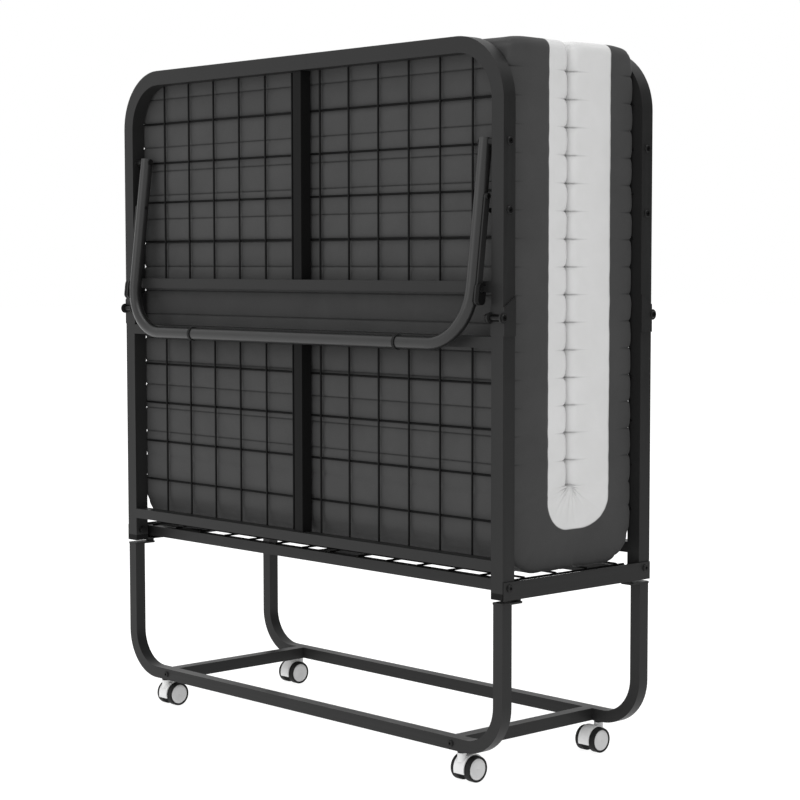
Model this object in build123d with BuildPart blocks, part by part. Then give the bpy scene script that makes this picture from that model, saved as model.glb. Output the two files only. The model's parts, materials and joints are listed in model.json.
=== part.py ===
"""Rollaway folding cot, shown folded: two wings stand up on a wheeled base with the mattress between them.

Frame: origin on the floor under the middle of the base, +X along the cot's width, +Z up.
The front wing and its leg are on the -Y side, and the back ones mirror them.
Every wing opens outwards by 90 degrees about the pivot bolts in the end rails.
"""
import os
from math import acos, atan2, cos, degrees, hypot, radians, sin

from build123d import *

os.makedirs("parts", exist_ok=True)

# ---- driving dimensions, in millimetres and degrees ----
width = 965.0               # over the wings' side tubes
wing_tube = 25.0            # square side tubes
wall = 1.2                  # of every tube
wing_y = 155.0              # middle of the wing tubes, and of the pivot bolts
wing_bottom = 294.5
wing_top = 1139.5
joint_z = 690.5             # where a wing's lower and upper sections meet
hoop_bend = 87.5            # centre-line radius of the upper corners
cap_height = 10.0
hoop_joint_x = 30.0         # where the upper hoop's two bent lengths meet
hoop_joint_gap = 0.2
cross_height = 17.0         # crossbars of the wings
lower_rail_z = (336.0, 672.5)
upper_rail_z = 755.5
centre_bar_width = 20.0

pivot_z = 312.5
bolt_r = 4.0                # M8
running_gap = 0.05
bush_r = 6.0
head_r = 6.0
head_height = 2.8
nut_r = 7.0
nut_height = 6.0

wire_r = 1.75
wire_pitch = 71.4
cross_wire_pitch = 70.0
wire_layer = 2.5            # from the middle of one layer of wires to the other
wire_lap = 8.0              # of a crosswire over the frame it is welded to

leg_r = 10.5
leg_x = 432.0
leg_pivot_z = 980.0
leg_tilt = 7.0              # outwards from straight down, when stowed
leg_length = 304.5          # pivot to the middle of the foot bar
leg_bend = 86.0
leg_tail = 6.0
foot_ring_x = (-248.0, 277.0)   # not centred on the bar
foot_ring_width = 5.0
foot_ring_thickness = 1.5
peened_r = 5.2              # end of the leg's pivot pin
peened_height = 1.6
floor_gap = 0.5

stud_drop = 102.0           # brace stud below the leg pivot
pin_drop = 82.0             # strut pin from the leg pivot, along the leg
strut_width = 10.0
strut_pin_r = 3.0
strut_pin_seat_r = 5.0      # of its spacer and its head
strut_thickness = 3.0
strut_x = 444.0             # inner face of the strut
latch_width = 15.0
latch_thickness = 7.0
latch_start = 130.0
latch_end = 163.0
slot_r = 4.8
approach_angle = 6.0       # of the leg's travel, over which the stud runs straight into the hook

knuckle_y = 169.0
knuckle_z = 718.0
plate_thickness = 2.0

rail_top = 322.0
rail_bottom = 294.0
rail_thickness = 2.0
rail_gap = 0.3              # between a wing tube and its end rail
rail_half = 166.5
flange_width = 20.0
flange_half = 131.0
cross_tube = 18.0
cross_tube_y = 121.0
cross_tube_bottom = 300.0

base_tube = 20.0
base_y = 156.6
base_x = 471.5
base_bar_z = 59.5
base_bend = 70.0
post_top = 287.0
plate_depth = 43.5
plate_width = 24.0
mount_thickness = 3.0
spreader_x = 370.0
spreader_bolt_r = 3.0

caster_x = 385.0
wheel_r = 20.4
wheel_half = 20.5           # half the width over both wheels
caster_trail = 14.5
web_half = 6.5
hood_r = 23.0
hood_gap = 0.8
hood_half = 11.0
hood_skirt = 6.4            # depth of the hood and the web below the axle
stem_r = 4.0
axle_r = 3.0

pad_half_x = 466.0          # half the mattress's width
pad_outer_y = 138.5
pad_inner_y = 3.0
pad_bottom = 325.5
pad_split_z = 458.0
pad_top = 1138.0
pad_corner = 60.0

# ---- sizes that follow from them ----
side_x = (width - wing_tube) / 2
inner_x = width / 2 - wing_tube
web_x = width / 2 + rail_gap
base_bottom = base_bar_z - base_tube / 2
splay = degrees(acos((pivot_z - leg_r - foot_ring_thickness - floor_gap) / leg_length))
leg_travel = 90 + splay - leg_tilt


def leg_angle_point(distance, angle):
    """A point in the wing's plane: distance from the leg pivot, angle outwards from straight down."""
    return (distance * sin(radians(angle)), -distance * cos(radians(angle)))


deployed_pin = leg_angle_point(pin_drop, 90 + splay)
strut_length = hypot(deployed_pin[0], deployed_pin[1] + stud_drop)
strut_end_angle = degrees(atan2(-deployed_pin[0], deployed_pin[1] + stud_drop))
strut_ratio = (strut_end_angle - leg_tilt) / leg_travel - 1


def stud_in_strut(travel):
    """Where the brace stud lies in the strut's own axes, along it and across it outwards."""
    pin = leg_angle_point(pin_drop, leg_tilt + travel)
    angle = radians(leg_tilt + (1 + strut_ratio) * travel)
    out, down = -pin[0], pin[1] + stud_drop
    return (out * sin(angle) + down * cos(angle), -out * cos(angle) + down * sin(angle))


def save(block, name):
    """Label a finished sub-part and write its STEP file."""
    block.part.label = name
    export_step(block.part, f"parts/{name}.step")


def tube_run(start, direction, across, size_across, size_other, length):
    """Add a straight hollow tube: its section is size_across along across by size_other."""
    with BuildSketch(Plane(origin=start, x_dir=across, z_dir=direction)) as section:
        Rectangle(size_across, size_other)
        Rectangle(size_across - 2 * wall, size_other - 2 * wall, mode=Mode.SUBTRACT)
    extrude(section.sketch, amount=length)


def rod(start, direction, radius, length, mode=Mode.ADD):
    """Add or cut a straight round rod."""
    with BuildSketch(Plane(origin=start, z_dir=direction)) as section:
        Circle(radius)
    extrude(section.sketch, amount=length, mode=mode)


def button_head(origin, outward, radius, height):
    """Add a domed screw head with a hexagon socket, seated at origin."""
    rim = 0.4 * height
    rod(origin, outward, radius, rim)
    crown = Plane(origin=origin, z_dir=outward).offset(rim)
    with BuildSketch(crown) as dome:
        Circle(radius)
    extrude(dome.sketch, amount=height - rim, taper=38)
    with BuildSketch(crown.offset(height - rim)) as socket:
        RegularPolygon(radius=0.42 * radius, side_count=6)
    extrude(socket.sketch, amount=-0.6 * height, mode=Mode.SUBTRACT)


def nut(origin, outward):
    """Add a hexagon nut whose near face is at origin."""
    with BuildSketch(Plane(origin=origin, z_dir=outward)) as hexagon:
        RegularPolygon(radius=nut_r, side_count=6)
    extrude(hexagon.sketch, amount=nut_height)


def wire_grid(long_wires, cross_wires):
    """Add a welded wire panel from (start, direction, length) triples."""
    for start, direction, length in long_wires + cross_wires:
        rod(start, direction, wire_r, length)


def wire_places(count, pitch):
    """Places of a number of wires, one pitch apart and centred on zero."""
    return [(i - (count - 1) / 2) * pitch for i in range(count)]


# ---- base ----
def base_loop(side):
    """One U of square tube: two posts and the bar that joins them at the bottom."""
    y = side * base_y
    with BuildPart() as loop:
        with BuildLine() as route:
            FilletPolyline(
                (-base_x, y, post_top), (-base_x, y, base_bar_z),
                (base_x, y, base_bar_z), (base_x, y, post_top), radius=base_bend)
        with BuildSketch(Plane(origin=route.line @ 0, x_dir=(1, 0, 0), z_dir=route.line % 0)):
            Rectangle(base_tube, base_tube)
            Rectangle(base_tube - 2 * wall, base_tube - 2 * wall, mode=Mode.SUBTRACT)
        sweep()
        for sign in (-1, 1):
            rod((sign * caster_x, y, base_bottom - 1), (0, 0, 1), stem_r, wall + 2, Mode.SUBTRACT)
            bolt_start = (sign * spreader_x, side * (base_y + base_tube), base_bar_z)
            rod(bolt_start, (0, -side, 0), spreader_bolt_r + 0.1, 2 * base_tube, Mode.SUBTRACT)
    return loop


for name, side in (("base_loop_front", -1), ("base_loop_back", 1)):
    save(base_loop(side), name)

spreader_length = 2 * base_y - base_tube
for name, sign in (("spreader_left", -1), ("spreader_right", 1)):
    with BuildPart() as spreader:
        start = (sign * spreader_x, -spreader_length / 2, base_bar_z)
        tube_run(start, (0, 1, 0), (1, 0, 0), base_tube, base_tube, spreader_length)
    save(spreader, name)

with BuildPart() as spreader_bolts:
    for sign in (-1, 1):
        for side in (-1, 1):
            seat = (sign * spreader_x, side * (base_y + base_tube / 2), base_bar_z)
            button_head(seat, (0, side, 0), 5.5, 2.5)
            rod(seat, (0, -side, 0), spreader_bolt_r, base_tube + 12)
save(spreader_bolts, "spreader_bolts")

plate_outer_y = base_y + base_tube / 2 + 1
pad_height = rail_bottom - post_top - mount_thickness
with BuildPart() as mount_plates:
    for sign in (-1, 1):
        for side in (-1, 1):
            middle_y = side * (plate_outer_y - plate_depth / 2)
            with BuildSketch(Plane.XY.offset(post_top)):
                with Locations((sign * base_x, middle_y)):
                    RectangleRounded(plate_width, plate_depth, 3)
            extrude(amount=mount_thickness)
            with BuildSketch(Plane.XY.offset(post_top + mount_thickness)):
                with Locations((sign * base_x, side * (flange_half - 3))):
                    Rectangle(plate_width - 8, 6)
            extrude(amount=pad_height)
save(mount_plates, "mount_plates")

for name, sign in (("end_rail_left", -1), ("end_rail_right", 1)):
    with BuildPart() as end_rail:
        with BuildSketch(Plane.YZ.offset(sign * web_x)):
            with Locations((0, (rail_top + rail_bottom) / 2)):
                Rectangle(2 * rail_half, rail_top - rail_bottom)
        extrude(amount=sign * rail_thickness)
        with BuildSketch(Plane.XY.offset(rail_bottom)):
            with Locations((sign * (web_x - flange_width / 2), 0)):
                Rectangle(flange_width, 2 * flange_half)
        extrude(amount=rail_thickness)
        for side in (-1, 1):
            start = (sign * (web_x - 1), side * wing_y, pivot_z)
            rod(start, (sign, 0, 0), bolt_r, rail_thickness + 2, Mode.SUBTRACT)
    save(end_rail, name)

cross_tube_z = cross_tube_bottom + cross_tube / 2
with BuildPart() as cross_tubes:
    for side in (-1, 1):
        start = (-web_x, side * cross_tube_y, cross_tube_z)
        tube_run(start, (1, 0, 0), (0, 1, 0), cross_tube, cross_tube, 2 * web_x)
save(cross_tubes, "cross_tubes")

centre_length = 2 * cross_tube_y - cross_tube
with BuildPart() as centre_bar:
    tube_run((0, -centre_length / 2, cross_tube_z), (0, 1, 0), (1, 0, 0), cross_tube, cross_tube, centre_length)
save(centre_bar, "centre_bar")

mesh_z = cross_tube_bottom + cross_tube + wire_r
wire_half_y = cross_tube_y + 5
cross_wire_half = 6.5 * wire_pitch + 3
with BuildPart() as centre_mesh:
    wire_grid(
        [((x, -wire_half_y, mesh_z), (0, 1, 0), 2 * wire_half_y) for x in wire_places(14, wire_pitch)],
        [((-cross_wire_half, y, mesh_z + wire_layer), (1, 0, 0), 2 * cross_wire_half)
         for y in wire_places(4, cross_wire_pitch)])
save(centre_mesh, "centre_mesh")

with BuildPart() as pivot_bolts:
    for sign in (-1, 1):
        for side in (-1, 1):
            seat = (sign * (web_x + rail_thickness), side * wing_y, pivot_z)
            button_head(seat, (sign, 0, 0), head_r, head_height)
            nut_face = inner_x - 0.5
            rod(seat, (-sign, 0, 0), bolt_r, web_x + rail_thickness - nut_face + nut_height)
            nut((sign * nut_face, side * wing_y, pivot_z), (-sign, 0, 0))
save(pivot_bolts, "pivot_bolts")

with BuildPart() as mattress_centre:
    with BuildSketch(Plane.YZ.offset(-pad_half_x)):
        with Locations((0, (pad_bottom + pad_split_z) / 2)):
            Rectangle(2 * pad_outer_y, pad_split_z - pad_bottom)
    extrude(amount=2 * pad_half_x)
    fillet(mattress_centre.edges().filter_by(Axis.X).group_by(Axis.Z)[0], radius=pad_corner)
save(mattress_centre, "mattress_centre")

collar_height = 3.0
stem_bottom = 26.5
with BuildPart() as caster_stems:
    for sign in (-1, 1):
        for side in (-1, 1):
            place = (sign * caster_x, side * base_y)
            rod((*place, stem_bottom), (0, 0, 1), stem_r, base_bar_z - stem_bottom)
            rod((*place, base_bottom - collar_height), (0, 0, 1), 7.5, collar_height)
save(caster_stems, "caster_stems")


# ---- casters: each axle trails its stem towards the middle of the cot ----
def caster_housing(sign, side):
    """Hood, web and stem socket of one twin-wheel caster."""
    x, stem_y = sign * caster_x, side * base_y
    axle_y = stem_y - side * caster_trail
    hood_plane = Plane(origin=(x, axle_y, wheel_r), x_dir=(0, 1, 0), z_dir=(1, 0, 0))
    neck_top = base_bottom - collar_height - rail_gap
    with BuildPart() as housing:
        with BuildSketch(hood_plane):
            Circle(hood_r)
            with Locations((0, -hood_skirt)):
                Rectangle(2 * hood_r, hood_r, align=(Align.CENTER, Align.MAX), mode=Mode.SUBTRACT)
        extrude(amount=hood_half, both=True)
        with BuildSketch(Plane.XY.offset(wheel_r + 12)):
            with Locations((x, stem_y)):
                Circle(7.5)
        extrude(amount=neck_top - wheel_r - 12)
        with BuildSketch(hood_plane):
            Circle(wheel_r + hood_gap)
        extrude(amount=2 * hood_half, both=True, mode=Mode.SUBTRACT)
        with BuildSketch(hood_plane):
            Circle(wheel_r + hood_gap + 0.4)
            with Locations((0, -hood_skirt)):
                Rectangle(2 * hood_r, hood_r, align=(Align.CENTER, Align.MAX), mode=Mode.SUBTRACT)
        extrude(amount=web_half, both=True)
        socket_bottom = stem_bottom - running_gap
        rod((x, stem_y, socket_bottom), (0, 0, 1), stem_r + running_gap, hood_r + wheel_r, Mode.SUBTRACT)
        rod((x - wheel_r, axle_y, wheel_r), (1, 0, 0), axle_r + running_gap, 2 * wheel_r, Mode.SUBTRACT)
    return housing


def caster_wheels(sign, side):
    """Twin wheels pressed on one axle."""
    x = sign * caster_x
    axle_y = side * (base_y - caster_trail)
    inner, edge, recess_r = web_half + 0.5, 2.0, 17.5
    with BuildPart() as wheels:
        with BuildSketch(Plane(origin=(x, axle_y, wheel_r), x_dir=(1, 0, 0), z_dir=(0, 1, 0))):
            with BuildLine():
                Polyline(
                    (0, 0), (wheel_half - 1, 0), (wheel_half - 1, recess_r), (wheel_half, recess_r),
                    (wheel_half, wheel_r - edge), (wheel_half - edge, wheel_r), (inner + edge, wheel_r),
                    (inner, wheel_r - edge), (inner, axle_r), (0, axle_r), close=True)
            make_face()
        turned = Axis((x, axle_y, wheel_r), (1, 0, 0))
        revolve(axis=turned)
        mirror(about=Plane.YZ.offset(x))
    return wheels


casters = (("front_left", -1, -1), ("front_right", 1, -1), ("back_left", -1, 1), ("back_right", 1, 1))
for place, sign, side in casters:
    save(caster_housing(sign, side), f"caster_{place}_housing")
    save(caster_wheels(sign, side), f"caster_{place}_wheels")


# ---- wings ----
def wing_point(side, distance, angle):
    """Y and Z of a point at a distance from the leg pivot, at an angle outwards from straight down."""
    out, up = leg_angle_point(distance, angle)
    return (side * (wing_y + out), leg_pivot_z + up)


def hoop_inside(x):
    """Height of the upper hoop's inner face above a place on the cot's width."""
    past_bend = max(0, abs(x) - side_x + hoop_bend)
    bend_inside = hoop_bend - wing_tube / 2
    return wing_top - wing_tube - bend_inside + (bend_inside ** 2 - past_bend ** 2) ** 0.5


def wing_parts(wing, side):
    """Every piece that is fixed to one wing."""
    y = side * wing_y
    face_y = side * (wing_y + wing_tube / 2)
    cross_y = side * (wing_y - wing_tube / 2 - wire_r)
    mesh_y = cross_y + side * wire_layer

    with BuildPart() as lower_sides:
        for sign in (-1, 1):
            start = (sign * side_x, y, wing_bottom + cap_height)
            length = joint_z - wing_bottom - cap_height
            tube_run(start, (0, 0, 1), (1, 0, 0), wing_tube, wing_tube, length)
            rod((sign * (inner_x - 1), y, pivot_z), (sign, 0, 0), bush_r, wing_tube + 2, Mode.SUBTRACT)
    save(lower_sides, f"{wing}_lower_sides")

    with BuildPart() as lower_rails:
        for bottom in lower_rail_z:
            start = (-inner_x, y, bottom + cross_height / 2)
            tube_run(start, (1, 0, 0), (0, 1, 0), wing_tube, cross_height, 2 * inner_x)
    save(lower_rails, f"{wing}_lower_rails")

    with BuildPart() as upper_rail:
        start = (-inner_x, y, upper_rail_z + cross_height / 2)
        tube_run(start, (1, 0, 0), (0, 1, 0), wing_tube, cross_height, 2 * inner_x)
    save(upper_rail, f"{wing}_upper_rail")

    with BuildPart() as upper_hoop:
        with BuildLine() as route:
            top = wing_top - wing_tube / 2
            FilletPolyline(
                (-side_x, y, joint_z), (-side_x, y, top), (side_x, y, top), (side_x, y, joint_z),
                radius=hoop_bend)
        with BuildSketch(Plane(origin=route.line @ 0, x_dir=(1, 0, 0), z_dir=route.line % 0)):
            Rectangle(wing_tube, wing_tube)
            Rectangle(wing_tube - 2 * wall, wing_tube - 2 * wall, mode=Mode.SUBTRACT)
        sweep()
        with BuildSketch(Plane.YZ.offset(hoop_joint_x)):
            with Locations((y, top)):
                Rectangle(2 * wing_tube, 2 * wing_tube)
        extrude(amount=hoop_joint_gap, mode=Mode.SUBTRACT)
        for sign in (-1, 1):
            start_x = sign * (inner_x - 1)
            for z in (leg_pivot_z, leg_pivot_z - stud_drop):
                rod((start_x, y, z), (sign, 0, 0), bolt_r + 0.1, wing_tube + 2, Mode.SUBTRACT)
            notch = (start_x, side * knuckle_y, knuckle_z)
            rod(notch, (sign, 0, 0), bolt_r + 1.5, wing_tube + 2, Mode.SUBTRACT)
    save(upper_hoop, f"{wing}_upper_hoop")

    lower_gap = (lower_rail_z[0] + cross_height, lower_rail_z[1])
    upper_gap = (upper_rail_z + cross_height, wing_top - wing_tube)
    with BuildPart() as centre_bars:
        for low, high in (lower_gap, upper_gap):
            start = (0, y - side * (wing_tube - centre_bar_width) / 2, low)
            tube_run(start, (0, 0, 1), (1, 0, 0), centre_bar_width, centre_bar_width, high - low)
    save(centre_bars, f"{wing}_centre_bars")

    cross_half = inner_x + wire_lap
    for panel, (low, high) in (("lower_mesh", lower_gap), ("upper_mesh", upper_gap)):
        middle = (low + high) / 2
        with BuildPart() as mesh:
            uprights = []
            for x in wire_places(12, wire_pitch):
                top = min(high, hoop_inside(x))
                uprights.append(((x, mesh_y, low), (0, 0, 1), top - low))
            wire_grid(uprights, [
                ((-cross_half, cross_y, middle + offset), (1, 0, 0), 2 * cross_half)
                for offset in wire_places(4, cross_wire_pitch)])
        save(mesh, f"{wing}_{panel}")

    plate_top, plate_low = 750.0, joint_z
    edge_y = side * (wing_y - wing_tube / 2)
    with BuildPart() as knuckle_plates:
        for sign in (-1, 1):
            for plate_x in (width / 2, inner_x - plate_thickness):
                with BuildSketch(Plane(origin=(sign * plate_x, 0, 0), x_dir=(0, 1, 0), z_dir=(1, 0, 0))):
                    Polygon(
                        (face_y, plate_low), (edge_y, plate_low), (edge_y, plate_top), (face_y, plate_top - 16),
                        align=None)
                    with Locations((side * knuckle_y, knuckle_z)):
                        Circle(8.5)
                        Circle(bolt_r, mode=Mode.SUBTRACT)
                extrude(amount=sign * plate_thickness)
    save(knuckle_plates, f"{wing}_knuckle_plates")

    with BuildPart() as knuckle_bolts:
        for sign in (-1, 1):
            seat = (sign * (width / 2 + plate_thickness), side * knuckle_y, knuckle_z)
            button_head(seat, (sign, 0, 0), head_r, head_height)
            nut_face = inner_x - plate_thickness
            shank = width / 2 + plate_thickness - nut_face + nut_height
            rod(seat, (-sign, 0, 0), bolt_r, shank)
            nut((sign * nut_face, side * knuckle_y, knuckle_z), (-sign, 0, 0))
    save(knuckle_bolts, f"{wing}_knuckle_bolts")

    with BuildPart() as pivot_bushes:
        for sign in (-1, 1):
            rod((sign * inner_x, y, pivot_z), (sign, 0, 0), bush_r, wing_tube)
            rod((sign * inner_x, y, pivot_z), (sign, 0, 0), bolt_r + running_gap, wing_tube, Mode.SUBTRACT)
    save(pivot_bushes, f"{wing}_pivot_bushes")

    with BuildPart() as end_caps:
        for sign in (-1, 1):
            with BuildSketch(Plane.XY.offset(wing_bottom)):
                with Locations((sign * side_x, y)):
                    Rectangle(wing_tube, wing_tube)
            extrude(amount=cap_height)
            with BuildSketch(Plane.XY.offset(wing_bottom + cap_height)):
                with Locations((sign * side_x, y)):
                    Rectangle(wing_tube - 2 * wall, wing_tube - 2 * wall)
            extrude(amount=1.5)
    save(end_caps, f"{wing}_end_caps")

    with BuildPart() as leg_bolts:
        for sign in (-1, 1):
            for z in (leg_pivot_z, leg_pivot_z - stud_drop):
                button_head((sign * width / 2, y, z), (sign, 0, 0), head_r, head_height)
            arm_inner, arm_outer = leg_x - leg_r, leg_x + leg_r
            pin_end = arm_inner - 0.4
            rod((sign * width / 2, y, leg_pivot_z), (-sign, 0, 0), bolt_r, width / 2 - pin_end)
            rod((sign * pin_end, y, leg_pivot_z), (-sign, 0, 0), peened_r, peened_height)
            spacer = inner_x - arm_outer - 0.3
            rod((sign * inner_x, y, leg_pivot_z), (-sign, 0, 0), head_r, spacer)
            stud_length = width / 2 - strut_x + 1
            rod((sign * width / 2, y, leg_pivot_z - stud_drop), (-sign, 0, 0), bolt_r, stud_length)
    save(leg_bolts, f"{wing}_leg_bolts")

    with BuildPart() as mattress_half:
        with BuildSketch(Plane.XY.offset(pad_split_z + 2)):
            with Locations((0, side * (pad_outer_y + pad_inner_y) / 2)):
                Rectangle(2 * pad_half_x, pad_outer_y - pad_inner_y)
        extrude(amount=pad_top - pad_split_z - 2)
    save(mattress_half, f"{wing}_mattress")


def leg_parts(wing, side):
    """The folding leg of one wing, and its two brace struts."""
    tail = wing_point(side, -leg_tail, leg_tilt)
    foot = wing_point(side, leg_length, leg_tilt)
    pin = wing_point(side, pin_drop, leg_tilt)
    down = (0, side * sin(radians(leg_tilt)), -cos(radians(leg_tilt)))

    with BuildPart() as leg_hoop:
        with BuildLine() as route:
            FilletPolyline((-leg_x, *tail), (-leg_x, *foot), (leg_x, *foot), (leg_x, *tail), radius=leg_bend)
        with BuildSketch(Plane(origin=route.line @ 0, x_dir=(1, 0, 0), z_dir=route.line % 0)):
            Circle(leg_r)
            Circle(leg_r - wall, mode=Mode.SUBTRACT)
        sweep()
        for sign in (-1, 1):
            start_x = sign * (leg_x - leg_r - 1)
            arm_width = 2 * leg_r + 2
            rod((start_x, side * wing_y, leg_pivot_z), (sign, 0, 0), bolt_r + running_gap, arm_width, Mode.SUBTRACT)
            rod((start_x, *pin), (sign, 0, 0), strut_pin_r, arm_width, Mode.SUBTRACT)
    save(leg_hoop, f"{wing}_leg_hoop")

    with BuildPart() as foot_rings:
        for ring_x in foot_ring_x:
            start = (ring_x - foot_ring_width / 2, *foot)
            rod(start, (1, 0, 0), leg_r + foot_ring_thickness, foot_ring_width)
            rod(start, (1, 0, 0), leg_r, foot_ring_width, Mode.SUBTRACT)
    save(foot_rings, f"{wing}_foot_rings")

    with BuildPart() as strut_pins:
        for sign in (-1, 1):
            arm_inner = leg_x - leg_r
            strut_outer = strut_x + strut_thickness
            rod((sign * arm_inner, *pin), (sign, 0, 0), strut_pin_r, strut_outer + 1 - arm_inner)
            rod((sign * (leg_x + leg_r), *pin), (sign, 0, 0), strut_pin_seat_r, strut_x - 0.3 - leg_x - leg_r)
            button_head((sign * (strut_outer + 0.3), *pin), (sign, 0, 0), strut_pin_seat_r, 2)
    save(strut_pins, f"{wing}_strut_pins")

    seat = stud_in_strut(leg_travel)
    approach = stud_in_strut(leg_travel - approach_angle)
    mouth_angle = degrees(atan2(approach[1] - seat[1], approach[0] - seat[0]))
    head_middle = (latch_start + latch_end) / 2
    head_centres = latch_end - latch_start - latch_width

    with BuildPart() as brace_struts:
        for sign in (-1, 1):
            plane = Plane(origin=(sign * strut_x, *pin), x_dir=down, z_dir=(sign, 0, 0))
            turn = -sign * side * mouth_angle
            with BuildSketch(plane):
                with Locations((strut_length / 2, 0)):
                    SlotCenterToCenter(strut_length, strut_width)
                with Locations((head_middle, 0)):
                    SlotCenterToCenter(head_centres, latch_width)
                Circle(strut_pin_r + running_gap, mode=Mode.SUBTRACT)
                with Locations(Location((strut_length, 0, 0), (0, 0, turn))):
                    Circle(slot_r, mode=Mode.SUBTRACT)
                    Rectangle(
                        2 * latch_width, 2 * slot_r, align=(Align.MIN, Align.CENTER), mode=Mode.SUBTRACT)
            extrude(amount=strut_thickness)
    save(brace_struts, f"{wing}_brace_struts")

    with BuildPart() as strut_latches:
        for sign in (-1, 1):
            plane = Plane(origin=(sign * strut_x, *pin), x_dir=down, z_dir=(sign, 0, 0)).offset(strut_thickness)
            turn = -sign * side * mouth_angle
            with BuildSketch(plane):
                with Locations((head_middle, 0)):
                    SlotCenterToCenter(head_centres, latch_width)
                with Locations(Location((strut_length, 0, 0), (0, 0, turn))):
                    Circle(slot_r, mode=Mode.SUBTRACT)
                    Rectangle(
                        2 * latch_width, 2 * slot_r, align=(Align.MIN, Align.CENTER), mode=Mode.SUBTRACT)
            extrude(amount=latch_thickness)
    save(strut_latches, f"{wing}_strut_latches")


for wing, side in (("front", -1), ("back", 1)):
    wing_parts(wing, side)
    leg_parts(wing, side)
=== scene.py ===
"""Looks of the folding cot: quilted mattress, casters, materials, floor, light and camera."""
import json
import math

import bmesh
import bpy
import numpy as np
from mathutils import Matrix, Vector


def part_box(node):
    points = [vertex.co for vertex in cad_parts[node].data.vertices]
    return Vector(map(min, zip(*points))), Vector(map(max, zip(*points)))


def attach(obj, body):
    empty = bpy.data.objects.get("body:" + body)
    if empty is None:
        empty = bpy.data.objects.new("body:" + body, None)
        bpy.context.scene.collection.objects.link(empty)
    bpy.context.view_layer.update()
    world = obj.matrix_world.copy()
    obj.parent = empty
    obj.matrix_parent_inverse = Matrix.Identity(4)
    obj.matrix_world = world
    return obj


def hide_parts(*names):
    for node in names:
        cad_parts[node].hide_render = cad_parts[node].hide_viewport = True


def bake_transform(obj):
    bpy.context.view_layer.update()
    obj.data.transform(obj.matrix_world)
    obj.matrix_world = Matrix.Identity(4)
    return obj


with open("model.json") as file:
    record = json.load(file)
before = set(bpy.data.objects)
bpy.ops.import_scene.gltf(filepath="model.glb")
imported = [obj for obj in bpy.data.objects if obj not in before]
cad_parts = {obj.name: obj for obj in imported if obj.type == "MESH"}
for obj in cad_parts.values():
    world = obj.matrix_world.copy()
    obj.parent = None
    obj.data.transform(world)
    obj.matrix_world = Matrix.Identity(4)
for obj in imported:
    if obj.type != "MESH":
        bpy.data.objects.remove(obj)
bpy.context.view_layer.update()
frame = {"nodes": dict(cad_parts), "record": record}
nodes = frame["nodes"]

# ---- sizes of the mattress, in metres ----
SEAM_TOP = 1.0925           # height of the topmost quilting seam
SEAM_PITCH = 0.0427         # from one seam to the next
SEAM_COUNT = 18             # enough to reach below the fold's centre line
FOLD_CENTRE = 0.455         # height of the line that the mattress folds round
WIDTH_HALF = 0.4668         # half the width, along X
OUTER = 0.1388              # outer face of each half, from the middle plane
INNER = 0.0005              # inner face of each half
CREASE = -0.0035            # the two halves meet a little in front of the middle
TOP = 1.1395
TOP_RADIUS = 0.017
BOTTOM = 0.3250
BOTTOM_RADIUS = 0.064       # of the turn under the fold
OUTER_EDGE = 0.0065         # radius of the long edges on the outer face
INNER_EDGE = 0.014          # radius of the long edges beside the crease
CHANNEL_DEPTH = 0.0036      # of a quilting seam below the crown of the channels
BELLY = 0.0022              # bulge of the side walls
SWELL = 0.0034              # bulge of the outer face past the ends of the crosswires
TUCK = 0.003                # height of the tuck under the fold
PALE_BOTTOM = 0.387         # lowest point of the pale cover on the side walls
SHARP_ANGLE = 62            # degrees, above which an edge of the mattress is shaded sharp
HARD_SHARP_ANGLE = 35       # the same for a moulded piece
ALL_PALE = -0.05            # a band value well inside the pale cover
END_ROUND = 0.024           # length of the closely spaced stations at the top end
END_STATIONS = 9
HALF_LENGTH = TOP - FOLD_CENTRE
SEAM_START = SEAM_TOP - FOLD_CENTRE     # of the topmost seam, along a half
FOLD_LENGTH = OUTER + FOLD_CENTRE - BOTTOM - 2 * BOTTOM_RADIUS + math.pi / 2 * BOTTOM_RADIUS

# ---- sizes of the hidden middle piece ----
CORE_X, CORE_Y = 0.4615, 0.122          # half its width and half its depth
CORE_Z = (0.336, 0.4665)
CORE_ROUND = 0.012
CORE_GROOVE = 0.0055
CORE_BAND_TOP = 0.457       # the side walls are dark up to here


def rgb(level, tint=(1.0, 1.0, 1.0)):
    """Linear colour from a grey level of 0 to 255 and a tint."""
    value = level / 255
    linear = value / 12.92 if value <= 0.04045 else ((value + 0.055) / 1.055) ** 2.4
    return (linear * tint[0], linear * tint[1], linear * tint[2], 1.0)


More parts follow.
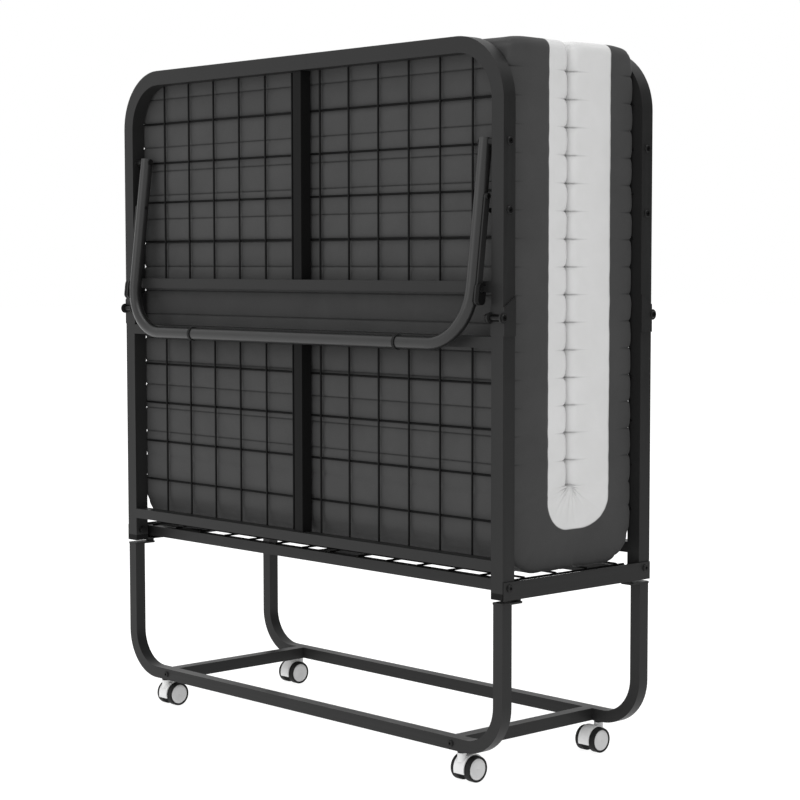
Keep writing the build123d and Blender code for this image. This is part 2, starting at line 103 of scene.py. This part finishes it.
# ---- materials ----
class Nodes:
    """Short calls for building one node material."""

    def __init__(self, name):
        self.material = bpy.data.materials.new(name)
        self.material.use_nodes = True
        self.tree = self.material.node_tree
        self.shader = self.tree.nodes["Principled BSDF"]

    def add(self, kind, inputs=None, **settings):
        node = self.tree.nodes.new(kind)
        for key, value in settings.items():
            setattr(node, key, value)
        for key, value in (inputs or {}).items():
            self.put(node, key, value)
        return node

    def put(self, node, key, value):
        if isinstance(value, bpy.types.NodeSocket):
            self.tree.links.new(value, node.inputs[key])
        else:
            node.inputs[key].default_value = value

    def set(self, **inputs):
        for key, value in inputs.items():
            self.put(self.shader, key.replace("_", " "), value)

    def place(self):
        return self.add("ShaderNodeTexCoord").outputs["Object"]

    def attribute(self, name):
        node = self.add("ShaderNodeAttribute", attribute_name=name, attribute_type="GEOMETRY")
        return node.outputs["Fac"]

    def wave(self, vector, direction):
        inputs = {"Vector": vector, "Scale": 260.0, "Distortion": 0.6, "Detail": 1.0}
        node = self.add("ShaderNodeTexWave", inputs, wave_type="BANDS", bands_direction=direction)
        return node.outputs["Fac"]

    def noise(self, vector, scale, detail=3.0, roughness=0.5):
        inputs = {"Vector": vector, "Scale": scale, "Detail": detail, "Roughness": roughness}
        return self.add("ShaderNodeTexNoise", inputs).outputs["Fac"]

    def ramp(self, value, low, high, low_out=0.0, high_out=1.0):
        inputs = {
            "Value": value, "From Min": low, "From Max": high, "To Min": low_out, "To Max": high_out}
        return self.add("ShaderNodeMapRange", inputs).outputs["Result"]

    def mix(self, factor, a, b):
        node = self.add("ShaderNodeMix", data_type="RGBA")
        self.put(node, 0, factor)
        self.put(node, 6, a)
        self.put(node, 7, b)
        return node.outputs[2]

    def math(self, operation, a, b=0.0):
        node = self.add("ShaderNodeMath", operation=operation)
        self.put(node, 0, a)
        self.put(node, 1, b)
        return node.outputs[0]

    def bump(self, height, strength, distance, normal=None):
        inputs = {"Height": height, "Strength": strength, "Distance": distance}
        if normal is not None:
            inputs["Normal"] = normal
        return self.add("ShaderNodeBump", inputs).outputs["Normal"]


def powder_coat(name, level, roughness=0.42, specular=0.16):
    """Matte black powder coat: a fine orange-peel texture, dusty, with slightly worn edges."""
    m = Nodes(name)
    where = m.place()
    peel = m.noise(where, 900, 2)
    cloud = m.noise(where, 9, 4, 0.6)
    grain = m.noise(where, 2600, 1)
    base = m.mix(m.ramp(cloud, 0.3, 0.7), rgb(level - 2), rgb(level + 3))
    edge = m.add("ShaderNodeNewGeometry").outputs["Pointiness"]
    colour = m.mix(m.ramp(edge, 0.53, 0.62, 0.0, 0.35), base, rgb(level + 22))
    worn = m.ramp(cloud, 0.25, 0.75, roughness - 0.05, roughness + 0.07)
    rough = m.math("ADD", worn, m.ramp(grain, 0, 1, -0.03, 0.03))
    normal = m.bump(peel, 0.25, 0.00012)
    m.set(Base_Color=colour, Roughness=rough, Normal=normal, Metallic=0.0)
    m.shader.inputs["Specular IOR Level"].default_value = specular
    return m.material


def plastic(name, level, roughness, specular=0.3, fleck=0.02):
    """Moulded plastic with a fine spark-eroded texture."""
    m = Nodes(name)
    where = m.place()
    texture = m.noise(where, 1800, 2)
    cloud = m.noise(where, 40, 3)
    colour = m.mix(m.ramp(cloud, 0.3, 0.7), rgb(level * (1 - fleck)), rgb(level * (1 + fleck)))
    m.set(
        Base_Color=colour, Roughness=m.ramp(cloud, 0.3, 0.7, roughness - 0.04, roughness + 0.05),
        Normal=m.bump(texture, 0.2, 0.00008))
    m.shader.inputs["Specular IOR Level"].default_value = specular
    return m.material


def rubber(name, level):
    """Soft dull rubber."""
    m = Nodes(name)
    where = m.place()
    dust = m.noise(where, 120, 4, 0.7)
    colour = m.mix(m.ramp(dust, 0.45, 0.8), rgb(level), rgb(level + 14))
    m.set(
        Base_Color=colour, Roughness=m.ramp(dust, 0.2, 0.8, 0.6, 0.85),
        Normal=m.bump(dust, 0.25, 0.0002))
    m.shader.inputs["Specular IOR Level"].default_value = 0.25
    return m.material


def quilted_fabric(name):
    """Brushed polyester in two shades, divided by band, with a fine knit, fuzz and sewn lines; the
    sewn lines and the edge of the pale cover are darkened with painted shade.
    """
    m = Nodes(name)
    band = m.attribute("band")
    where = m.place()
    knit = m.math("MULTIPLY", m.wave(where, "Z"), m.wave(where, "DIAGONAL"))
    fuzz = m.noise(where, 1400, 3, 0.6)
    cloud = m.noise(where, 14, 4, 0.55)
    rumple = m.noise(where, 55, 3, 0.5)
    light = m.mix(m.ramp(cloud, 0.3, 0.7), rgb(201, (1, 1, 0.995)), rgb(207))
    dark = m.mix(m.ramp(cloud, 0.3, 0.7), rgb(57), rgb(62))
    dark = m.mix(m.ramp(fuzz, 0.45, 0.9, 0.0, 0.35), dark, rgb(80))
    light = m.mix(m.ramp(fuzz, 0.4, 0.9, 0.0, 0.3), light, rgb(198))
    side = m.ramp(band, -0.0006, 0.0006)
    colour = m.mix(side, light, dark)
    away = m.math("ABSOLUTE", band)
    # a thin dark line along the edge of the pale cover: the seam there, darkened with painted shade
    # of its groove
    cover_edge_shade = m.ramp(away, 0.0006, 0.0016, 1.0, 0.0)
    colour = m.mix(m.math("MULTIPLY", cover_edge_shade, 0.28), colour, rgb(40))
    # painted shade: the quilting seams are darkened as if their creases were in shade, together with
    # the stitching in them
    seam = m.attribute("seam")
    stitch_and_crease_shade = m.mix(side, rgb(128), rgb(14))
    colour = m.mix(m.math("MULTIPLY", m.ramp(seam, 0.1, 1.0), 0.6), colour, stitch_and_crease_shade)
    height = m.math("ADD", m.math("MULTIPLY", knit, 0.5), m.math("MULTIPLY", fuzz, 0.5))
    fine = m.bump(height, 0.35, 0.0002)
    broad = m.bump(rumple, 0.3, 0.0015, fine)
    sewn = m.bump(m.ramp(away, 0.0, 0.0035), 0.6, 0.0012, broad)
    m.set(Base_Color=colour, Roughness=0.92, Normal=sewn)
    m.shader.inputs["Specular IOR Level"].default_value = 0.2
    m.shader.inputs["Sheen Weight"].default_value = 0.06
    m.shader.inputs["Sheen Roughness"].default_value = 0.5
    return m.material


frame_black = powder_coat("frame_black", 26)
mesh_black = powder_coat("mesh_black", 10, 0.5, 0.06)
leg_black = powder_coat("leg_black", 26, 0.3, 0.42)
bolt_black = powder_coat("bolt_black", 16, 0.3)
moulded_black = plastic("moulded_black", 8, 0.5, 0.1)
tread_black = rubber("tread_black", 18)
pad_black = rubber("pad_black", 10)
pale_plastic = plastic("pale_plastic", 214, 0.38)
hub_plastic = plastic("hub_plastic", 196, 0.42)
fabric = quilted_fabric("mattress_fabric")

by_slot = {
    "frame": frame_black, "hardware": bolt_black, "plastic": moulded_black, "rubber": pad_black,
    "mattress": fabric, "wheel": tread_black, "caster_hood": pale_plastic}
for row in frame["record"]["subparts"]:
    node = nodes[row["node"]]
    material = by_slot[row["material_slot"]]
    if row["node"].endswith(("mesh", "centre_bars")):
        material = mesh_black
    if row["node"].endswith("leg_hoop"):
        material = leg_black
    node.data.materials.clear()
    node.data.materials.append(material)


# ---- meshes ----
def mesh_object(name, points, faces, material, sharp_angle=None, merge=False, attributes=None):
    """A smooth-shaded object with outward faces, and any attributes given for its points."""
    mesh = bpy.data.meshes.new(name)
    mesh.from_pydata(points, [], faces)
    bm = bmesh.new()
    bm.from_mesh(mesh)
    if merge:
        bmesh.ops.remove_doubles(bm, verts=bm.verts[:], dist=1e-6)
        bmesh.ops.dissolve_degenerate(bm, dist=1e-7, edges=bm.edges[:])
    bmesh.ops.recalc_face_normals(bm, faces=bm.faces[:])
    bm.to_mesh(mesh)
    bm.free()
    for key, values in (attributes or {}).items():
        attribute = mesh.attributes.new(key, "FLOAT", "POINT")
        attribute.data.foreach_set("value", values.astype(np.float32))
    for polygon in mesh.polygons:
        polygon.use_smooth = True
    if sharp_angle is not None:
        mesh.set_sharp_from_angle(angle=math.radians(sharp_angle))
    mesh.materials.append(material)
    obj = bpy.data.objects.new(name, mesh)
    bpy.context.scene.collection.objects.link(obj)
    return obj


def hard_piece(name, points, faces, material):
    """A moulded or flat piece, with doubled points merged."""
    return mesh_object(name, points, faces, material, HARD_SHARP_ANGLE, merge=True)


# ---- mattress ----
def spaced(low, high, step, edge, count):
    """Points from low to high about step apart, with count closer ones within edge of each end."""
    first = [low + edge * i / count for i in range(count)]
    last = [high - edge * (count - i) / count for i in range(1, count + 1)]
    middle_count = max(2, round((high - low - 2 * edge) / step) + 1)
    middle = np.linspace(low + edge, high - edge, middle_count)
    return np.array(first + list(middle) + last)


def smoothstep(v):
    """From 0 to 1 as v goes from 0 to 1, level at both ends."""
    v = np.clip(v, 0, 1)
    return v * v * (3 - 2 * v)


def fold_reach(angle):
    """Distance from the fold's centre line to the mattress's outer face, at an angle below level."""
    depth = FOLD_CENTRE - BOTTOM
    c, s = np.cos(angle), np.sin(angle)
    side = OUTER / np.maximum(c, 1e-6)
    floor = depth / np.maximum(s, 1e-6)
    cx, cy, r = OUTER - BOTTOM_RADIUS, depth - BOTTOM_RADIUS, BOTTOM_RADIUS
    along = c * cx + s * cy
    corner = along + np.sqrt(np.maximum(r * r - (cx * cx + cy * cy - along * along), 0))
    reach = np.minimum(side, floor)
    hit_side = (side * s) > cy
    hit_floor = (floor * c) > cx
    return np.where(hit_side & hit_floor, corner, reach)


def soft_noise(points, scale, seed):
    """Smooth repeatable noise from a few summed waves."""
    rng = np.random.default_rng(seed)
    total = np.zeros(len(points))
    for _ in range(9):
        direction = rng.normal(size=3)
        direction /= np.linalg.norm(direction)
        phase, stretch = rng.uniform(0, 2 * np.pi), rng.uniform(0.6, 1.7)
        total += np.sin(points @ direction * (2 * np.pi * stretch / scale) + phase)
    return total / 9


def arch(s, first):
    """0 at a seam and 1 at the crown of the channel between two seams, steep beside the seam."""
    u = np.mod((s - first) / SEAM_PITCH, 1.0)
    return np.clip(4 * u * (1 - u), 0, 1) ** 0.42


def near_seam(s, width):
    """1 on a seam, falling to 0 over width."""
    u = np.mod((s - SEAM_START) / SEAM_PITCH + 0.5, 1.0) - 0.5
    return np.exp(-((u * SEAM_PITCH / width) ** 2))


def stations(length):
    """Places along a half's straight part: close together at each seam and at the rounded end."""
    offsets = np.array([0, 1.2, 3, 6, 10.5, 16, 21.35]) * 0.001
    end_places = [length - step for step in np.linspace(0, END_ROUND, END_STATIONS)]
    places = end_places + [0.0]
    for number in range(-1, SEAM_COUNT):
        seam = SEAM_START - number * SEAM_PITCH
        places += [seam + sign * offset for offset in offsets for sign in (-1, 1)]
    kept = [0.0]
    for place in sorted(places):
        off_grid = min(abs(end_place - place) for end_place in end_places) > 1e-6
        near_end = place > length - END_ROUND and off_grid
        if place - kept[-1] > 0.0006 and place <= length + 1e-9 and not near_end:
            kept.append(place)
    return np.array(kept)


def box_surface(*places):
    """Points and faces of a closed box, divided at the given places along its three axes."""
    index, points, faces = {}, [], []
    for axis in range(3):
        across, along = [n for n in range(3) if n != axis]
        for level in (0, len(places[axis]) - 1):
            for i in range(len(places[across]) - 1):
                for j in range(len(places[along]) - 1):
                    face = []
                    for di, dj in ((0, 0), (1, 0), (1, 1), (0, 1)):
                        key = [0, 0, 0]
                        key[axis], key[across], key[along] = level, i + di, j + dj
                        key = tuple(key)
                        if key not in index:
                            index[key] = len(points)
                            points.append([places[n][key[n]] for n in range(3)])
                        face.append(index[key])
                    faces.append(face)
    return np.array(points), faces


def round_off(points, core):
    """Points of a box moved onto the rounded shape round its core, and their outward normals."""
    away = points - core
    normal = away / np.maximum(np.linalg.norm(away, axis=1), 1e-9)[:, None]
    return core + normal * np.max(np.abs(away), axis=1)[:, None], normal


def slab_core(x, t, s, in_fold):
    """The core of a half: its long edges are tighter on the outside and softer at the crease."""
    outer_side = t > (INNER + OUTER) / 2
    radius = np.where(outer_side, OUTER_EDGE, INNER_EDGE * (1 - 0.75 * in_fold))
    pinched = np.where(outer_side, 0.0012, 0.003 * (1 - 0.6 * in_fold))
    radius = radius + near_seam(s, 0.0065) * pinched
    near_top = smoothstep((s - HALF_LENGTH + 0.05) / 0.05)
    radius = radius * (1 - near_top) + TOP_RADIUS * near_top
    return np.stack([
        np.clip(x, -WIDTH_HALF + radius, WIDTH_HALF - radius),
        np.clip(t, INNER + radius, OUTER - radius),
        np.minimum(s, HALF_LENGTH - TOP_RADIUS)], axis=1)


def quilting(x, t, s, in_fold, normal, seed):
    """How far each point moves out: channels on both faces, puckers and belly on the side walls."""
    valley = 1 - arch(s, SEAM_START)
    wall, across = np.abs(normal[:, 0]), np.abs(normal[:, 1])
    end = np.clip(normal[:, 2], 0, 1)
    from_outer, from_inner = OUTER - t, t - INNER
    fade_end = np.clip((HALF_LENGTH - s) / 0.012, 0, 1)
    ripple = soft_noise(np.stack([x, t * 0.6, s * 2.2], axis=1), 0.085, seed)
    fine = soft_noise(np.stack([x, t, s * 0.5], axis=1), 0.034, seed + 1)

    # channels on the faces, shallower at the rim
    rim = 1 - 0.65 * np.exp(-((WIDTH_HALF - np.abs(x)) / 0.014) ** 2)
    channel = CHANNEL_DEPTH * rim * valley * (1 + 0.25 * ripple) * across * fade_end

    # each seam runs a little way round onto the side walls
    tongue = 0.0018 * np.exp(-(from_outer / 0.012) ** 2)
    tongue += 0.0020 * np.exp(-(from_inner / 0.016) ** 2)
    long_tongue = 0.0012 * np.exp(-(from_outer / 0.026) ** 2)
    long_tongue += 0.0016 * np.exp(-(from_inner / 0.024) ** 4)
    pucker = (tongue * valley + long_tongue * near_seam(s, 0.0028)) * wall * fade_end
    pucker *= 1 - 0.35 * in_fold

    sag = 0.0011 * ripple + 0.0004 * fine * np.exp(-from_inner / 0.05)
    belly = BELLY * np.sin(np.clip(t / OUTER, 0, 1) * np.pi) * wall
    crumple = 0.0011 * fine * near_seam(s, 0.0065) * across
    push = belly - channel - pucker + sag * (wall + 0.4 * across + end)
    push -= crumple + 0.0012 * wall
    return push * (1 - 0.75 * in_fold) * smoothstep((s + FOLD_LENGTH) / 0.035)


def fold_under(slab, side, at_cut, wall):
    """The slab stood upright, with the part below the centre line turned in under the fold."""
    above = slab[:, 2] > 0
    angle = np.clip(-slab[:, 2] / FOLD_LENGTH, 0, 1) * (np.pi / 2)
    share = slab[:, 1] / OUTER
    ray = share * fold_reach(angle)
    y = np.where(above, slab[:, 1], np.cos(angle) * ray)
    z = np.where(above, FOLD_CENTRE + slab[:, 2], FOLD_CENTRE - np.sin(angle) * ray)
    lean = CREASE * (1 - share) * np.cos(angle)
    y = np.where(at_cut, 0.0, side * y + lean)

    # gathers fan out from the end of the crease
    gathers = np.cos(13 * angle + 1.1 * np.sin(9 * angle)) * np.clip(angle / 0.35, 0, 1) ** 2
    gathers *= np.exp(-ray / 0.032) * (1 - np.exp(-(ray / 0.007) ** 2)) * wall
    x = slab[:, 0] - np.sign(slab[:, 0]) * 0.0014 * gathers

    # past the ends of the crosswires the outer edges swell out a little
    past_wires = smoothstep((np.abs(x) - 0.4550) / 0.008)
    y += side * SWELL * past_wires * share ** 5 * np.cos(angle)

    # the outer top corner is rounder than the other edges
    to_end = smoothstep(1 - (TOP - z) / 0.045)
    to_face = np.clip((share - 0.66) / 0.34, 0, 1)
    z -= 0.005 * to_end * to_face ** 2

    # a small tuck under the fold, on both side walls
    tuck = np.exp(-((y - 0.008) / 0.006) ** 2) * np.exp(-((z - BOTTOM) / 0.022) ** 2)
    z += TUCK * tuck * np.clip((np.abs(x) - 0.40) / 0.05, 0, 1)
    x -= np.sign(x) * 0.002 * tuck * wall
    return np.stack([x, y, z], axis=1)


def pale_cover_distance(y, z, edge, wide, high):
    """Signed distance to the edge of the pale cover: straight, with a rounded lower corner."""
    dy = (y - (edge - wide)) * high / wide
    dz = (PALE_BOTTOM + high) - z
    corner_y, corner_z = np.maximum(dy, 0), np.maximum(dz, 0)
    from_corner = np.hypot(corner_y, corner_z)
    length = np.maximum(from_corner, 1e-9)
    stretched = np.hypot(corner_y / length * high / wide, corner_z / length)
    slope = np.where((dy > 0) | (dz > 0), stretched, 1.0)
    return (from_corner + np.minimum(np.maximum(dy, dz), 0) - high) / slope


def stitch_and_shade_lines(t, s, in_fold, normal):
    """How strongly a sewn line shows, as its stitching plus painted shade of its crease: on the
    faces, and a short way round onto the side walls.
    """
    from_seam = np.abs(np.mod((s - SEAM_START) / SEAM_PITCH + 0.5, 1.0) - 0.5) * SEAM_PITCH
    on_wall = np.clip(1.4 - (OUTER - t) / 0.026, 0, 1) + np.clip(1 - (t - INNER) / 0.046, 0, 1)
    shown = np.clip(np.abs(normal[:, 1]) + np.abs(normal[:, 0]) * on_wall, 0, 1)
    seam = np.clip(1 - from_seam / 0.0019, 0, 1) * shown
    return seam * np.clip(in_fold * -40 + 1, 0, 1) * (s < HALF_LENGTH - 0.02)


def mattress_half(name, side, cover_edge, cover_corner, seed):
    """One folded half: a closed, quilted slab that turns in under the fold, cut at the middle.

    Each point starts at x across the bed, t through the thickness and s along the half, with s
    below 0 in the turn under the fold.
    """
    bend = np.linspace(-FOLD_LENGTH, 0, 60)[:-1]
    points, faces = box_surface(
        spaced(-WIDTH_HALF, WIDTH_HALF, 0.0075, 0.020, 6),
        spaced(INNER, OUTER, 0.0052, 0.020, 6),
        np.concatenate([bend, stations(HALF_LENGTH)]))
    x, t, s = points.T
    in_fold = np.clip(-s / FOLD_LENGTH, 0, 1)
    core = slab_core(x, t, s, in_fold)
    slab, normal = round_off(points, core)

    # the cut face stays flat
    at_cut = s <= -FOLD_LENGTH + 1e-9
    inside_cut = at_cut & (np.linalg.norm(points - core, axis=1) < 1e-7)
    slab[inside_cut] = points[inside_cut]
    push = np.where(inside_cut, 0.0, quilting(x, t, s, in_fold, normal, seed))
    slab += normal * push[:, None]
    slab[:, 1] = np.maximum(slab[:, 1], INNER)

    final = fold_under(slab, side, at_cut, np.abs(normal[:, 0]))
    band = pale_cover_distance(side * final[:, 1], final[:, 2], cover_edge, *cover_corner)
    band = np.where((t < INNER + 1e-9) | inside_cut, ALL_PALE, band)
    # the seam values darken the fabric with painted shade in the creases of the sewn lines
    seam = stitch_and_shade_lines(t, s, in_fold, normal)
    obj = mesh_object(
        name, final.tolist(), faces, fabric, SHARP_ANGLE, attributes={"band": band, "seam": seam})
    return obj


# wing, side, edge of the pale cover from the middle, its corner's two radii, seed
halves = (("front", -1, 0.0548, (0.045, 0.048), 5), ("back", 1, 0.0845, (0.066, 0.048), 11))
for wing, side, cover_edge, cover_corner, seed in halves:
    half = mattress_half(f"mattress_{wing}_half", side, cover_edge, cover_corner, seed)
    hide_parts(f"{wing}_mattress")
    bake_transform(half)


def mattress_core():
    """The middle of the mattress, out of sight inside the fold until the wings open."""
    points, faces = box_surface(
        spaced(-CORE_X, CORE_X, 0.009, CORE_ROUND, 5),
        spaced(-CORE_Y, CORE_Y, 0.004, CORE_ROUND, 5),
        spaced(*CORE_Z, 0.006, CORE_ROUND, 5))
    low, high = points.min(axis=0) + CORE_ROUND, points.max(axis=0) - CORE_ROUND
    p, normal = round_off(points, np.clip(points, low, high))
    ripple = soft_noise(p, 0.09, 3)
    groove = (1 - arch(p[:, 1], SEAM_PITCH / 2)) * np.abs(normal[:, 2])
    p += normal * (0.0010 * ripple - CORE_GROOVE * groove)[:, None]

    # the side walls pull in at the end of the crease and under the fold
    pull = 0.012 * np.exp(-(p[:, 1] / 0.015) ** 2) * np.clip((p[:, 2] - 0.425) / 0.020, 0, 1)
    pull += 0.004 * np.exp(-((p[:, 2] - CORE_Z[0]) / 0.02) ** 2)
    p[:, 0] -= np.sign(p[:, 0]) * pull * np.abs(normal[:, 0])

    # the lower corners rise clear of the rounded turn under the fold
    turn = np.clip((np.abs(p[:, 1]) - 0.085) / 0.037, 0, 1)
    turn *= np.clip((0.400 - p[:, 2]) / 0.064, 0, 1)
    p[:, 2] += 0.030 * turn
    band = CORE_BAND_TOP - p[:, 2]
    obj = mesh_object("mattress_core", p.tolist(), faces, fabric, attributes={"band": band})
    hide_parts("mattress_centre")
    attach(obj, "base")


mattress_core()


# ---- casters ----
def lathe(name, profile, centre, material, segments=72, side=1):
    """A closed ring turned about an axis along X, from (x, radius) points."""
    verts, faces = [], []
    count = len(profile)
    for k in range(segments):
        angle = 2 * math.pi * k / segments
        for along, radius in profile:
            verts.append((
                centre[0] + side * along,
                centre[1] + radius * math.cos(angle),
                centre[2] + radius * math.sin(angle)))
    for k in range(segments):
        for i in range(count):
            j, n = (i + 1) % count, (k + 1) % segments
            faces.append([k * count + i, k * count + j, n * count + j, n * count + i])
    return hard_piece(name, verts, faces, material)


def rounded(points, radius, steps=4):
    """A closed outline of (a, b) points with each corner rounded."""
    out = []
    count = len(points)
    for i in range(count):
        before, here, after = (Vector(points[(i + d) % count]) for d in (-1, 0, 1))
        u, v = (before - here), (after - here)
        r = min(radius, u.length * 0.45, v.length * 0.45)      # two corners share an edge
        start, end = here + u.normalized() * r, here + v.normalized() * r
        for k in range(steps + 1):
            w = k / steps
            out.append(tuple(start * (1 - w) ** 2 + here * 2 * w * (1 - w) + end * w * w))
    return out


# ---- sizes of a wheel: distances along the axle, then radii ----
wheel_inner = 0.0072
wheel_outer = 0.0204
wheel_radius = 0.0204
axle_half = 0.0075
axle_radius = 0.003
recess = 0.0186             # where the hub's disc meets the tyre
recess_radius = 0.0168

for place in ("front_left", "front_right", "back_left", "back_right"):
    low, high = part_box(f"caster_{place}_wheels")
    centre = ((low.x + high.x) / 2, (low.y + high.y) / 2, (low.z + high.z) / 2)
    tyres = []
    for end, side in (("inner", -1), ("outer", 1)):
        tread = rounded([
            (wheel_inner, axle_radius), (wheel_inner, wheel_radius), (wheel_outer, wheel_radius),
            (wheel_outer, 0.0172), (recess, recess_radius), (recess, axle_radius)], 0.0016)
        tyre = lathe(f"tyre_{place}_{end}", tread, centre, tread_black, side=side)
        disc = [
            (0.0180, 0.0000), (0.0188, 0.0000), (0.0200, 0.0008), (0.0203, 0.0040),
            (wheel_outer, 0.0120), (0.0202, 0.0155), (0.0194, 0.0167), (0.0180, 0.0167)]
        hub = lathe(f"hub_{place}_{end}", disc, centre, hub_plastic, side=side)
        tyres += [tyre, hub]
    axle_outline = rounded([
        (-axle_half, 0.0), (axle_half, 0.0),
        (axle_half, axle_radius), (-axle_half, axle_radius)], 0.0003)
    axle = lathe(f"axle_{place}", axle_outline, centre, bolt_black, segments=24)
    for piece in tyres + [axle]:
        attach(piece, f"wheels_{place}")
    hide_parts(f"caster_{place}_wheels")


# ---- floor, light and camera ----
def bright_floor(name):
    """A white studio floor lit to the same white as the backdrop."""
    m = Nodes(name)
    m.set(
        Base_Color=rgb(150), Roughness=1.0,
        Emission_Color=(1.0, 1.0, 1.0, 1.0), Emission_Strength=0.9)
    m.shader.inputs["Specular IOR Level"].default_value = 0.0
    return m.material


reach = 30
corners = [(-reach, -reach, 0), (reach, -reach, 0), (reach, reach, 0), (-reach, reach, 0)]
floor = hard_piece("floor", corners, [[0, 1, 2, 3]], bright_floor("floor_white"))

world = bpy.data.worlds.new("studio")
bpy.context.scene.world = world
world.use_nodes = True
world.node_tree.nodes["Background"].inputs["Color"].default_value = (1, 1, 1, 1)
world.node_tree.nodes["Background"].inputs["Strength"].default_value = 1.0


def area_light(name, location, target, size, energy):
    data = bpy.data.lights.new(name, "AREA")
    data.shape = "RECTANGLE"
    data.size, data.size_y = size
    data.energy = energy
    light = bpy.data.objects.new(name, data)
    bpy.context.scene.collection.objects.link(light)
    light.location = location
    light.rotation_euler = (Vector(target) - Vector(location)).to_track_quat("-Z", "Y").to_euler()


# a black panel out of view, which keeps the right-hand side walls from washing out
flag_corners = [(3.9, 1.3, 0.1), (1.4, 4.0, 0.1), (1.4, 4.0, 3.6), (3.9, 1.3, 3.6)]
flag = hard_piece("flag", flag_corners, [[0, 1, 2, 3]], moulded_black)
flag.visible_camera = False
area_light("overhead", (0.3, -0.2, 4.2), (0, 0, 0.5), (3.5, 3.5), 60)
area_light("front_fill", (-1.0, -4.5, 1.8), (0, 0, 0.6), (3.0, 2.5), 26)

camera_data = bpy.data.cameras.new("camera")
camera_data.sensor_width = 36.0
camera_data.lens = 92.7
camera_data.shift_x = -0.04
camera_data.shift_y = 0.018
camera_data.clip_end = 200.0
camera = bpy.data.objects.new("camera", camera_data)
bpy.context.scene.collection.objects.link(camera)
camera.location = (2.6312, -2.3421, 0.7969)
camera.rotation_euler = (math.radians(90 - 4.154), 0, math.radians(46.637))
bpy.context.scene.camera = camera
bpy.context.scene.view_settings.view_transform = "Standard"
